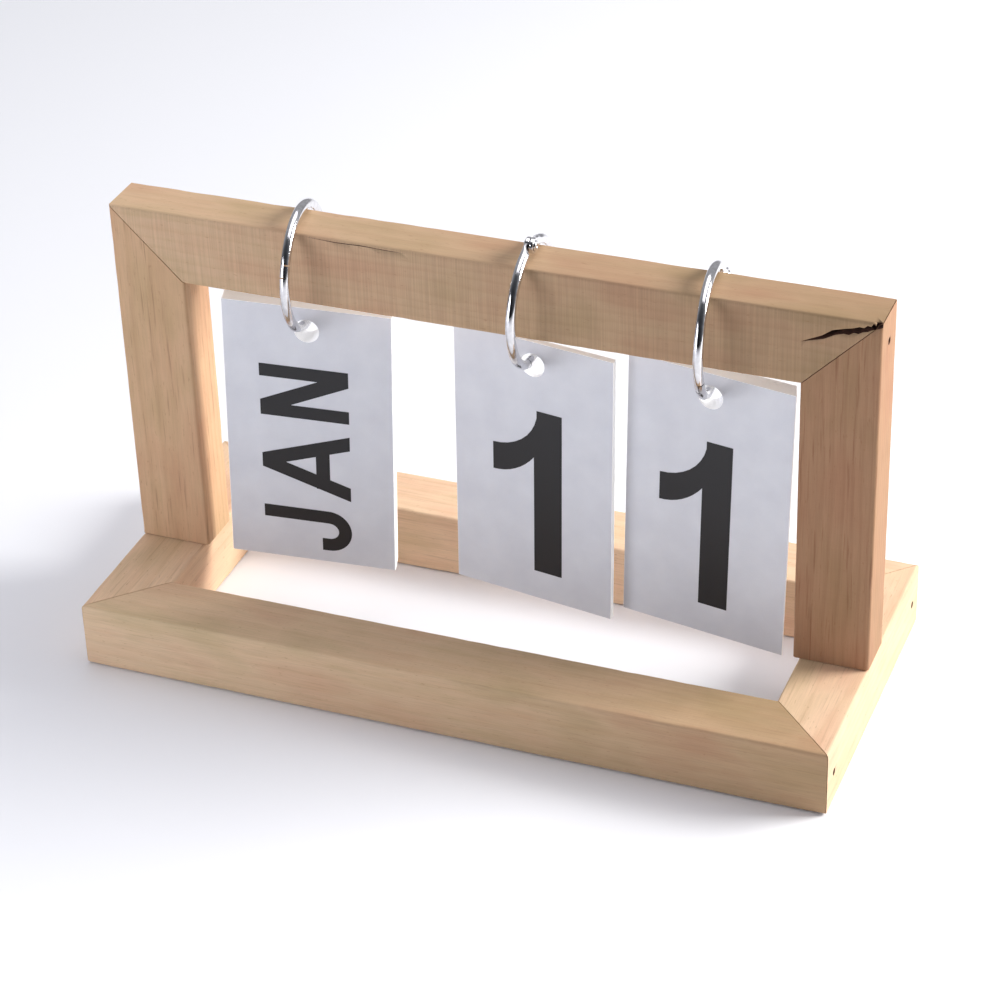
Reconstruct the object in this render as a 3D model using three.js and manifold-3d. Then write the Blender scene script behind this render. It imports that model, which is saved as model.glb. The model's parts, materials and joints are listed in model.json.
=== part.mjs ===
// Flip desk calendar: a wooden stand with three packs of numbered card leaves, each
// pack threaded on a hinged snap ring that hangs round the stand's top rail.
//
// Millimetres, +Z up, +X to the right, the front faces -Y.
// Origin: the centre of the base's footprint, at its underside.

import * as THREE from "three";
import { mergeVertices } from "three/addons/utils/BufferGeometryUtils.js";
import Module from "manifold-3d";

const wasm = await Module();
wasm.setup();

const radians = THREE.MathUtils.degToRad;

// ---------------------------------------------------------------- driving dimensions

const standWidth = 200; // over the outer faces of the side rails and uprights
const standHeight = 116.5; // table to the top of the top rail
const baseDepth = 87;
const baseRailWidth = 18;
const baseRailHeight = 18;
const frameFaceWidth = 19.5; // face of the uprights and of the top rail
const frameDepth = 13.5; // uprights and top rail, front to back
const frameSetback = 36.25; // base front to the uprights' front face
const edgeRadius = 0.8; // eased long edges of every stick
const glueLine = 0.2; // gap left between glued faces

const wireDiameter = 2.5;
const ringSeatGap = 0.3; // ring to the rail's top edges
const lapLength = 3; // snap closure: length of the two side-by-side tongues
const lapGap = 0.08; // from each tongue, and from each eye, to the ring's plane
const eyeSpread = 0.75; // the pressed, pierced eyes at the hinge are wider than the wire
const eyeFlattening = 0.12; // and thinner than its half, by this much
const eyeRelief = 0.25; // cut-back of the other half round an eye
const rivetDiameter = 1.5;
const rivetHeadOverhang = 0.6;
const rivetHeadHeight = 0.45;
const rivetClearance = 0.08;

const leafThickness = 0.4;
const leafGap = 0.1; // between neighbouring leaves of a pack
const holeDiameter = 6.4;
const holeFromTop = 6.6; // hole centre to the leaf's top edge
const leafHangGap = 0.2; // wire to the top of the hole
const leafTopGap = 3.8; // leaf's top edge to the underside of the top rail
const leafTableGap = 17.2; // leaf's bottom edge to the table
const leftPackGap = 8.3; // left upright to the month pack, with its leaves square to the rail
const middlePackGap = 16.5; // month pack to the tens pack
const digitPackGap = 1.3; // tens pack to the ones pack
const rightPackGap = 1.7; // ones pack to the right upright

const bradDiameter = 1.4;
const bradLength = 22;
const bradHeadRadius = 1.1;
const bradHeadHeight = 0.6;
const bradSetDepth = 0.8; // heads are punched below the surface
const topBradDrop = 8; // below the top of the stand
const baseBradInset = 6; // from the base's front and rear faces
const screwDiameter = 3;
const screwBite = 13; // length in the upright
const screwHeadRadius = 3;
const screwHeadHeight = 2;
const screwSetDepth = 0.8;
const fastenerClearance = 0.3; // hole wall to fastener, all round

// ---------------------------------------------------------------- derived places

const left = -standWidth / 2;
const right = standWidth / 2;
const baseFront = -baseDepth / 2;
const baseRear = baseDepth / 2;
const frameFront = baseFront + frameSetback;
const frameMid = frameFront + frameDepth / 2;
const innerLeft = left + frameFaceWidth;
const innerRight = right - frameFaceWidth;
const wireRadius = wireDiameter / 2;
const holeRadius = holeDiameter / 2;
const eyeRadius = wireRadius + eyeSpread;
const eyeThickness = wireRadius - lapGap - eyeFlattening;
const eyeClear = eyeRadius + eyeRelief;
const rivetRadius = rivetDiameter / 2;
const rivetHeadRadius = rivetRadius + rivetHeadOverhang;
const leafPitch = leafThickness + leafGap;

// Three equal leaves share the width between the uprights with the gaps beside them,
// and they fill the height between the top rail and the table with theirs.
const sideGaps = leftPackGap + middlePackGap + digitPackGap + rightPackGap;
const leafWidth = (innerRight - innerLeft - sideGaps) / 3;
const leafHeight = standHeight - frameFaceWidth - leafTopGap - leafTableGap;
const monthX = innerLeft + leftPackGap + leafWidth / 2;
const onesX = innerRight - rightPackGap - leafWidth / 2;
const tensX = onesX - digitPackGap - leafWidth;

// One pack each. The angles on a ring are counted from its lowest point, round the
// front. holeDrift spreads the holes of a pack along the yawed wire.
const packs = [
  {
    name: "month",
    leaves: 12,
    ringX: monthX,
    ringYaw: 6.5,
    leafYaw: 7.8,
    leafRoll: -2,
    holeDrift: 0.5,
    hingeAngle: -68,
    closureAngle: 112,
    carrier: "lower",
    opener: "upper",
  },
  {
    name: "tens",
    leaves: 4,
    ringX: tensX,
    ringYaw: 0.5,
    leafYaw: -7.5,
    leafRoll: -1.2,
    holeDrift: 0,
    hingeAngle: -180,
    closureAngle: 14,
    carrier: "rear",
    opener: "front",
  },
  {
    name: "ones",
    leaves: 10,
    ringX: onesX,
    ringYaw: 5.5,
    leafYaw: -7.7,
    leafRoll: -1.6,
    holeDrift: 0.45,
    hingeAngle: -120,
    closureAngle: 60,
    carrier: "lower",
    opener: "upper",
  },
];

// Half the rail's depth along a yawed ring, between the centres of its eased edges.
const acrossRail = (yaw) => (frameDepth / 2 - edgeRadius) / Math.cos(radians(yaw));

// The wire's inner radius: the ring seats on both top edges of the rail, and the leaves
// that hang on its lowest point stay leafTopGap below the rail.
const widest = acrossRail(Math.max(...packs.map((pack) => Math.abs(pack.ringYaw))));
const hang = leafTopGap + holeFromTop - holeRadius + leafHangGap + ringSeatGap;
const twoArms = hang + frameFaceWidth - 2 * edgeRadius;
const ringInnerRadius = (twoArms ** 2 + widest ** 2) / (2 * twoArms) + edgeRadius;
const ringMeanRadius = ringInnerRadius + wireRadius;

// ---------------------------------------------------------------- facets

const edgeSegments = 3;
const wireSides = 12; // an even number
const degreesPerStep = 6;
const holeSegments = 24; // an even number
const roundSegments = 20;
const fastenerSegments = 12;
const beyond = 5; // how far cutters run past what they cut

// ---------------------------------------------------------------- materials

const wood = new THREE.MeshStandardMaterial({ color: 0xc9a884, roughness: 0.75, metalness: 0 });
const nickel = new THREE.MeshStandardMaterial({ color: 0xc4c5c8, roughness: 0.18, metalness: 1 });
const card = new THREE.MeshStandardMaterial({ color: 0xe6e6ea, roughness: 0.6, metalness: 0 });
const steel = new THREE.MeshStandardMaterial({ color: 0x8c8e92, roughness: 0.4, metalness: 1 });

// ---------------------------------------------------------------- helpers

function solidOf(geometry) {
  const bare = geometry.clone();
  bare.deleteAttribute("normal");
  bare.deleteAttribute("uv");
  const merged = mergeVertices(bare, 1e-4);
  return new wasm.Manifold(
    new wasm.Mesh({
      numProp: 3,
      vertProperties: new Float32Array(merged.attributes.position.array),
      triVerts: new Uint32Array(merged.index.array),
    }),
  );
}

function geometryOf(solid) {
  const mesh = solid.getMesh();
  const geometry = new THREE.BufferGeometry();
  geometry.setAttribute("position", new THREE.BufferAttribute(mesh.vertProperties, 3));
  geometry.setIndex(new THREE.BufferAttribute(mesh.triVerts, 1));
  geometry.computeVertexNormals();
  return geometry;
}

function named(name, geometry, material) {
  const mesh = new THREE.Mesh(geometry, material);
  mesh.name = name;
  return mesh;
}

function polygon(points) {
  return new THREE.Shape(points.map(([x, y]) => new THREE.Vector2(x, y)));
}

function roundedRectangle(width, height, radius) {
  const x = width / 2;
  const y = height / 2;
  const shape = new THREE.Shape();
  shape.moveTo(-x + radius, -y);
  shape.lineTo(x - radius, -y);
  shape.absarc(x - radius, -y + radius, radius, -Math.PI / 2, 0, false);
  shape.lineTo(x, y - radius);
  shape.absarc(x - radius, y - radius, radius, 0, Math.PI / 2, false);
  shape.lineTo(-x + radius, y);
  shape.absarc(-x + radius, y - radius, radius, Math.PI / 2, Math.PI, false);
  shape.lineTo(-x, -y + radius);
  shape.absarc(-x + radius, -y + radius, radius, Math.PI, 1.5 * Math.PI, false);
  return shape;
}

// A prism of the outline, drawn in X and Y, from z = low to z = high.
function prism(shape, low, high, curveSegments = edgeSegments) {
  const geometry = new THREE.ExtrudeGeometry(shape, {
    depth: high - low,
    bevelEnabled: false,
    curveSegments,
  });
  return geometry.translate(0, 0, low);
}

// The same with the outline in X and Z, from y = low to y = high.
function outlineInXZ(shape, low, high) {
  return prism(shape, -high, -low).rotateX(Math.PI / 2);
}

// ---------------------------------------------------------------- fasteners

// A turned fastener: it points along +Z, its head's outer face lies at z = 0.
// grow widens it all round, which makes the cutter for its hole.
function fastener({ radius, length, headRadius, headHeight, setDepth, taper }, grow = 0) {
  const mouth = grow > 0 ? -setDepth - beyond : 0;
  const neck = taper ? headHeight : 0;
  const point = 2 * radius;
  const profile = [
    [0, mouth],
    [headRadius + grow, mouth],
    [headRadius + grow, grow > 0 ? headHeight - neck + grow : headHeight - neck],
    [radius + grow, headHeight + grow],
    [radius + grow, length - point],
    [0, length + 2 * grow],
  ];
  const points = profile.map(([x, y]) => new THREE.Vector2(x, y));
  return new THREE.LatheGeometry(points, fastenerSegments).rotateX(Math.PI / 2);
}

const brad = {
  radius: bradDiameter / 2,
  length: bradLength,
  headRadius: bradHeadRadius,
  headHeight: bradHeadHeight,
  setDepth: bradSetDepth,
  taper: false,
};
const screw = {
  radius: screwDiameter / 2,
  length: baseRailHeight + glueLine - screwSetDepth + screwBite,
  headRadius: screwHeadRadius,
  headHeight: screwHeadHeight,
  setDepth: screwSetDepth,
  taper: true,
};

// side is -1 on the left and 1 on the right: a brad is driven inwards from its side face.
const topBradHeight = standHeight - topBradDrop;
const baseBradHeight = baseRailHeight / 2;
const fasteners = [];
for (const [word, side] of [["left", -1], ["right", 1]]) {
  const head = side * (standWidth / 2 - bradSetDepth);
  const turn = (-side * Math.PI) / 2;
  const driven = (y, z) => ({ at: [head, y, z], turnY: turn });
  fasteners.push({ name: `${word}_top_brad`, kind: brad, ...driven(frameMid, topBradHeight) });
  const rows = [["front", baseFront + baseBradInset], ["rear", baseRear - baseBradInset]];
  for (const [row, y] of rows) {
    fasteners.push({ name: `base_${row}_${word}_brad`, kind: brad, ...driven(y, baseBradHeight) });
  }
  fasteners.push({
    name: `${word}_foot_screw`,
    kind: screw,
    at: [side * (standWidth - frameFaceWidth) / 2, frameMid, screwSetDepth],
    turnY: 0,
  });
}

const cutters = fasteners.map(({ kind, at, turnY }) =>
  solidOf(fastener(kind, fastenerClearance).rotateY(turnY).translate(...at)),
);

// ---------------------------------------------------------------- the stand

// The eased stick and the mitred outline are intersected, then drilled.
function stick(eased, outline) {
  let solid = solidOf(eased).intersect(solidOf(outline));
  for (const cutter of cutters) {
    solid = solid.subtract(cutter);
  }
  return geometryOf(solid);
}

const mitre = glueLine / Math.SQRT2; // each mitred end stands back by half the glue line

function easedAlongX(depth, height, y, z) {
  const section = roundedRectangle(depth, height, edgeRadius);
  const length = standWidth / 2 + beyond;
  const along = prism(section, -length, length).rotateX(Math.PI / 2).rotateZ(Math.PI / 2);
  return along.translate(0, y, z);
}

function easedAlongY(width, height, x, z) {
  const section = roundedRectangle(width, height, edgeRadius);
  const length = baseDepth / 2 + beyond;
  return prism(section, -length, length).rotateX(Math.PI / 2).translate(x, 0, z);
}

function baseLongRail(side) {
  const outer = (side * baseDepth) / 2;
  const inner = outer - side * baseRailWidth;
  const half = standWidth / 2 - mitre;
  const corners = [
    [-half, outer],
    [half, outer],
    [half - baseRailWidth, inner],
    [-half + baseRailWidth, inner],
  ];
  const outline = prism(polygon(side < 0 ? corners : corners.reverse()), 0, baseRailHeight);
  const y = outer - (side * baseRailWidth) / 2;
  return stick(easedAlongX(baseRailWidth, baseRailHeight, y, baseRailHeight / 2), outline);
}

function baseSideRail(side) {
  const outer = (side * standWidth) / 2;
  const inner = outer - side * baseRailWidth;
  const half = baseDepth / 2 - mitre;
  const corners = [
    [outer, -half],
    [outer, half],
    [inner, half - baseRailWidth],
    [inner, -half + baseRailWidth],
  ];
  const outline = prism(polygon(side > 0 ? corners : corners.reverse()), 0, baseRailHeight);
  const x = outer - (side * baseRailWidth) / 2;
  return stick(easedAlongY(baseRailWidth, baseRailHeight, x, baseRailHeight / 2), outline);
}

function upright(side) {
  const outer = (side * standWidth) / 2;
  const inner = outer - side * frameFaceWidth;
  const foot = baseRailHeight + glueLine;
  const corners = [
    [inner, foot],
    [outer, foot],
    [outer, standHeight - mitre],
    [inner, standHeight - frameFaceWidth - mitre],
  ];
  const shape = polygon(side > 0 ? corners : corners.reverse());
  const outline = outlineInXZ(shape, frameFront, frameFront + frameDepth);
  const section = roundedRectangle(frameFaceWidth, frameDepth, edgeRadius);
  const eased = prism(section, 0, standHeight + beyond);
  return stick(eased.translate(outer - (side * frameFaceWidth) / 2, frameMid, 0), outline);
}

function topRail() {
  const half = standWidth / 2 - mitre;
  const shape = polygon([
    [-half, standHeight],
    [-half + frameFaceWidth, standHeight - frameFaceWidth],
    [half - frameFaceWidth, standHeight - frameFaceWidth],
    [half, standHeight],
  ]);
  const outline = outlineInXZ(shape, frameFront, frameFront + frameDepth);
  const z = standHeight - frameFaceWidth / 2;
  return stick(easedAlongX(frameDepth, frameFaceWidth, frameMid, z), outline);
}

// ---------------------------------------------------------------- the snap rings

// The ring lies in Y and Z, centred on the origin.
const onRing = (angle, radius = ringMeanRadius) =>
  new THREE.Vector3(0, -radius * Math.sin(angle), -radius * Math.cos(angle));

class RingArc extends THREE.Curve {
  constructor(from, to) {
    super();
    this.from = from;
    this.to = to;
  }

  getPoint(t, target = new THREE.Vector3()) {
    return target.copy(onRing(THREE.MathUtils.lerp(this.from, this.to, t)));
  }
}

function wire(from, to) {
  const section = new THREE.Shape();
  section.absarc(0, 0, wireRadius, 0, 2 * Math.PI, false);
  const geometry = new THREE.ExtrudeGeometry(section, {
    steps: Math.ceil(THREE.MathUtils.radToDeg(to - from) / degreesPerStep),
    curveSegments: wireSides / 2,
    extrudePath: new RingArc(from, to),
  });
  return solidOf(geometry);
}

// A disc across the ring's plane, from x = low to x = high, at an angle on the ring.
function disc(radius, low, high, angle) {
  const geometry = new THREE.CylinderGeometry(radius, radius, high - low, roundSegments);
  geometry.rotateZ(Math.PI / 2).translate((low + high) / 2, 0, 0);
  const { y, z } = onRing(angle);
  return solidOf(geometry.translate(0, y, z));
}

// A block that takes one side of the wire away over a stretch of it round an angle.
function halfBlock(angle, side, from, to) {
  const reach = 2 * wireRadius;
  const geometry = new THREE.BoxGeometry(reach, to - from, reach * 2);
  geometry.translate(side * (reach / 2 - lapGap), -(from + to) / 2, 0);
  geometry.rotateX(-angle);
  const { y, z } = onRing(angle);
  return solidOf(geometry.translate(0, y, z));
}

// side is 1 for the half whose eye lies on the +X side of the ring's plane.
// Its tongue at the closure lies on the other side.
function halfRing(from, to, hinge, closure, side) {
  const reach = 2 * wireRadius;
  const near = side * lapGap;
  const far = side * (lapGap + eyeThickness);
  const ordered = (a, b) => [Math.min(a, b), Math.max(a, b)];
  const stretch = ordered((-side * lapLength) / 2, side * lapLength);
  return wire(from, to)
    .subtract(disc(eyeClear, ...ordered(near, -side * reach), hinge))
    .subtract(disc(eyeClear, ...ordered(far, side * reach), hinge))
    .add(disc(eyeRadius, ...ordered(near, far), hinge))
    .subtract(disc(rivetRadius + rivetClearance, -reach, reach, hinge))
    .subtract(halfBlock(closure, side, ...stretch));
}

function rivet(hinge) {
  const grip = lapGap + eyeThickness + rivetClearance;
  const crown = grip + rivetHeadHeight;
  const points = [
    [0, -crown],
    [0.6 * rivetHeadRadius, -crown],
    [rivetHeadRadius, -grip - rivetHeadHeight / 2],
    [rivetHeadRadius, -grip],
    [rivetRadius, -grip],
    [rivetRadius, grip],
    [rivetHeadRadius, grip],
    [rivetHeadRadius, grip + rivetHeadHeight / 2],
    [0.6 * rivetHeadRadius, crown],
    [0, crown],
  ].map(([x, y]) => new THREE.Vector2(x, y));
  const { y, z } = onRing(hinge);
  const turned = new THREE.LatheGeometry(points, roundSegments).rotateZ(Math.PI / 2);
  return turned.translate(0, y, z);
}

function snapRing(pack) {
  const hinge = radians(pack.hingeAngle);
  const closure = radians(pack.closureAngle);
  const tongue = (lapLength / 2 - lapGap) / (ringMeanRadius + wireRadius);
  const carrier = halfRing(hinge, closure + tongue, hinge, closure, 1);
  const opener = halfRing(closure - tongue, hinge + 2 * Math.PI, hinge, closure, -1);
  const group = new THREE.Group();
  group.add(
    named(`${pack.name}_ring_${pack.carrier}_half`, geometryOf(carrier), nickel),
    named(`${pack.name}_ring_${pack.opener}_half`, geometryOf(opener), nickel),
    named(`${pack.name}_ring_rivet`, rivet(hinge), nickel),
  );
  group.rotation.z = radians(pack.ringYaw);
  return group;
}

// ---------------------------------------------------------------- the leaves

// The leaf's outline, with the hole's centre at the origin.
function leafGeometry() {
  const x = leafWidth / 2;
  const top = holeFromTop;
  const bottom = holeFromTop - leafHeight;
  const shape = polygon([
    [-x, bottom],
    [x, bottom],
    [x, top],
    [-x, top],
  ]);
  const hole = new THREE.Path();
  hole.absarc(0, 0, holeRadius, 0, 2 * Math.PI, true);
  shape.holes.push(hole);
  const depth = leafThickness / 2;
  return prism(shape, -depth, depth, holeSegments / 2).rotateX(Math.PI / 2);
}

function leafPack(pack) {
  const group = new THREE.Group();
  const halfStack = ((pack.leaves - 1) * leafPitch) / 2;
  for (let i = 0; i < pack.leaves; i += 1) {
    const y = i * leafPitch - halfStack; // the first leaf is the front one
    const alongWire = -y * Math.tan(radians(pack.ringYaw));
    const drift = (-pack.holeDrift * y) / halfStack;
    const wireTop = -Math.sqrt(ringInnerRadius ** 2 - y ** 2);
    const number = String(i + 1).padStart(2, "0");
    const leaf = named(`${pack.name}_leaf_${number}`, leafGeometry(), card);
    leaf.position.set(alongWire + drift, y, wireTop + leafHangGap - holeRadius);
    leaf.rotation.set(0, -radians(pack.leafRoll), radians(pack.leafYaw), "ZYX");
    group.add(leaf);
  }
  return group;
}

// ---------------------------------------------------------------- assembly

// The ring hangs on both top edges of the rail, which it crosses at its yaw.
function ringCentreHeight(pack) {
  const arm = Math.sqrt((ringInnerRadius - edgeRadius) ** 2 - acrossRail(pack.ringYaw) ** 2);
  return standHeight - edgeRadius - arm + ringSeatGap;
}

const calendar = new THREE.Group();
calendar.add(
  named("base_front_rail", baseLongRail(-1), wood),
  named("base_rear_rail", baseLongRail(1), wood),
  named("base_left_rail", baseSideRail(-1), wood),
  named("base_right_rail", baseSideRail(1), wood),
  named("left_upright", upright(-1), wood),
  named("right_upright", upright(1), wood),
  named("top_rail", topRail(), wood),
);

for (const { name, kind, at, turnY } of fasteners) {
  const mesh = named(name, fastener(kind), steel);
  mesh.position.set(...at);
  mesh.rotation.y = turnY;
  calendar.add(mesh);
}

for (const pack of packs) {
  const group = new THREE.Group();
  group.position.set(pack.ringX, frameMid, ringCentreHeight(pack));
  group.add(snapRing(pack), leafPack(pack));
  calendar.add(group);
}

export default calendar;
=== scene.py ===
# A flip desk calendar: pine stand, nickel snap rings, printed card leaves.
# Metres, +Z up, +X to the right, the front faces -Y.

import json
import math

import bmesh
import bpy
import numpy as np
from mathutils import Matrix, Vector, noise
from mathutils.geometry import delaunay_2d_cdt


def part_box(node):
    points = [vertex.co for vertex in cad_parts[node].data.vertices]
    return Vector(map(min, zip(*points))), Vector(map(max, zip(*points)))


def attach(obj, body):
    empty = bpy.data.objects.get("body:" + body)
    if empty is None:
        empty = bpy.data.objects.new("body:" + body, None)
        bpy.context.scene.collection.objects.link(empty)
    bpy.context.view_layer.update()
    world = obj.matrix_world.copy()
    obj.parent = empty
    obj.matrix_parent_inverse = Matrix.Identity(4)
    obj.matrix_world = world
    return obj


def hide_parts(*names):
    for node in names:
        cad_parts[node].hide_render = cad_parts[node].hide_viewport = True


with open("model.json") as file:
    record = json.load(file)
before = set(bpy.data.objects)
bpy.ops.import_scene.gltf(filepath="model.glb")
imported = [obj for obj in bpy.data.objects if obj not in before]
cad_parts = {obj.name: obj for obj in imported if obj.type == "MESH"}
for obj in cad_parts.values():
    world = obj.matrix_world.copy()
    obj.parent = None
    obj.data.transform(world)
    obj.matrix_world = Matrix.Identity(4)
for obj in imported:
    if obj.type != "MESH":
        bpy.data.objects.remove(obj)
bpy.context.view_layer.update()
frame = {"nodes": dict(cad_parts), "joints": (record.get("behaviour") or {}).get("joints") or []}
nodes = frame["nodes"]
joints = {joint["name"]: joint for joint in frame["joints"]}

MM = 0.001
PACKS = {"month": ("lower", "upper"), "tens": ("rear", "front"), "ones": ("lower", "upper")}

# ---------------------------------------------------------------- small tools


def linear(code, alpha=1.0):
    """An sRGB hex value, such as "#c9a884", as linear colour."""
    shares = [int(code[i : i + 2], 16) / 255 for i in (1, 3, 5)]
    return tuple(s / 12.92 if s <= 0.04045 else ((s + 0.055) / 1.055) ** 2.4 for s in shares) + (alpha,)


def smooth(t):
    """0 before t = 0, 1 after t = 1, and an even turn between."""
    t = min(max(t, 0.0), 1.0)
    return t * t * (3 - 2 * t)


def mesh_object(name, bm, *materials, angle=35):
    """A new object from a bmesh, shaded smooth except over edges sharper than angle."""
    bmesh.ops.recalc_face_normals(bm, faces=bm.faces)
    for face in bm.faces:
        face.smooth = True
    for edge in bm.edges:
        if len(edge.link_faces) == 2 and edge.calc_face_angle() > math.radians(angle):
            edge.smooth = False
    mesh = bpy.data.meshes.new(name)
    bm.to_mesh(mesh)
    bm.free()
    piece = bpy.data.objects.new(name, mesh)
    bpy.context.scene.collection.objects.link(piece)
    for material in materials:
        mesh.materials.append(material)
    return piece


def loft(bm, sections):
    """Quads between closed sections of equal length, with a flat face over each end."""
    loops = [[bm.verts.new(point) for point in section] for section in sections]
    for a, b in zip(loops, loops[1:]):
        for i in range(len(a)):
            j = (i + 1) % len(a)
            bm.faces.new((a[i], a[j], b[j], b[i]))
    bm.faces.new(loops[0][::-1])
    bm.faces.new(loops[-1])


def boolean(piece, cutter, operation="DIFFERENCE"):
    """Cuts or joins with Blender's exact solver, then removes the cutter."""
    step = piece.modifiers.new("step", "BOOLEAN")
    step.object = cutter
    step.operation = operation
    step.solver = "EXACT"
    step.material_mode = "TRANSFER"
    bpy.context.view_layer.update()
    shaped = piece.evaluated_get(bpy.context.evaluated_depsgraph_get())
    result = bpy.data.meshes.new_from_object(shaped)
    piece.modifiers.clear()
    piece.data = result
    bpy.data.objects.remove(cutter)


def stands_for(piece, body, material_slot, *names):
    """The piece moves with a body, and takes the place of these CAD nodes."""
    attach(piece, body)
    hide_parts(*names)
    return piece


# ---------------------------------------------------------------- materials


MATH = "ShaderNodeMath"
MIX = "ShaderNodeMix"
RAMP = "ShaderNodeValToRGB"
PLACE = "ShaderNodeTexCoord"
SPLIT = "ShaderNodeSeparateXYZ"
BLEND = {"data_type": "RGBA", "blend_type": "MIX"}
TINT = {"data_type": "RGBA", "blend_type": "MULTIPLY"}


def add(tree, kind, inputs=None, stops=(), **settings):
    """Adds a node and gives its outputs. inputs, by name or number, are values or other nodes'
    outputs. settings are the node's own. stops are a colour ramp's: a place from 0 to 1 and a
    hex colour or a grey level."""
    node = tree.nodes.new(kind)
    for name, value in settings.items():
        setattr(node, name, value)
    for name, value in (inputs or {}).items():
        if isinstance(value, bpy.types.NodeSocket):
            tree.links.new(value, node.inputs[name])
        else:
            node.inputs[name].default_value = value
    for number, (position, colour) in enumerate(stops):
        elements = node.color_ramp.elements
        element = elements[number] if number < 2 else elements.new(1.0)
        element.position = position
        element.color = linear(colour) if isinstance(colour, str) else (colour, colour, colour, 1)
    return node.outputs


def material(name, **finish):
    """A new material, its nodes and its shader. finish is what is the same all over it."""
    made = bpy.data.materials.new(name)
    made.use_nodes = True
    shader = made.node_tree.nodes["Principled BSDF"]
    for socket, value in finish.items():
        shader.inputs[socket.replace("_", " ")].default_value = value
    return made, made.node_tree, shader.inputs


def grain(tree, along, across, detail, roughness=0.5, shift=0.0):
    """A cloudy pattern on the piece itself, with features this long along X and this wide, in mm."""
    place = add(tree, PLACE)["Object"]
    scale = (1 / (along * MM), 1 / (across * MM), 1 / (across * MM))
    scaled = add(tree, "ShaderNodeMapping", {"Vector": place, "Scale": scale, "Location": (shift,) * 3})
    settings = {"Vector": scaled[0], "Scale": 1.0, "Detail": detail, "Roughness": roughness}
    return add(tree, "ShaderNodeTexNoise", settings)["Fac"]


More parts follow.
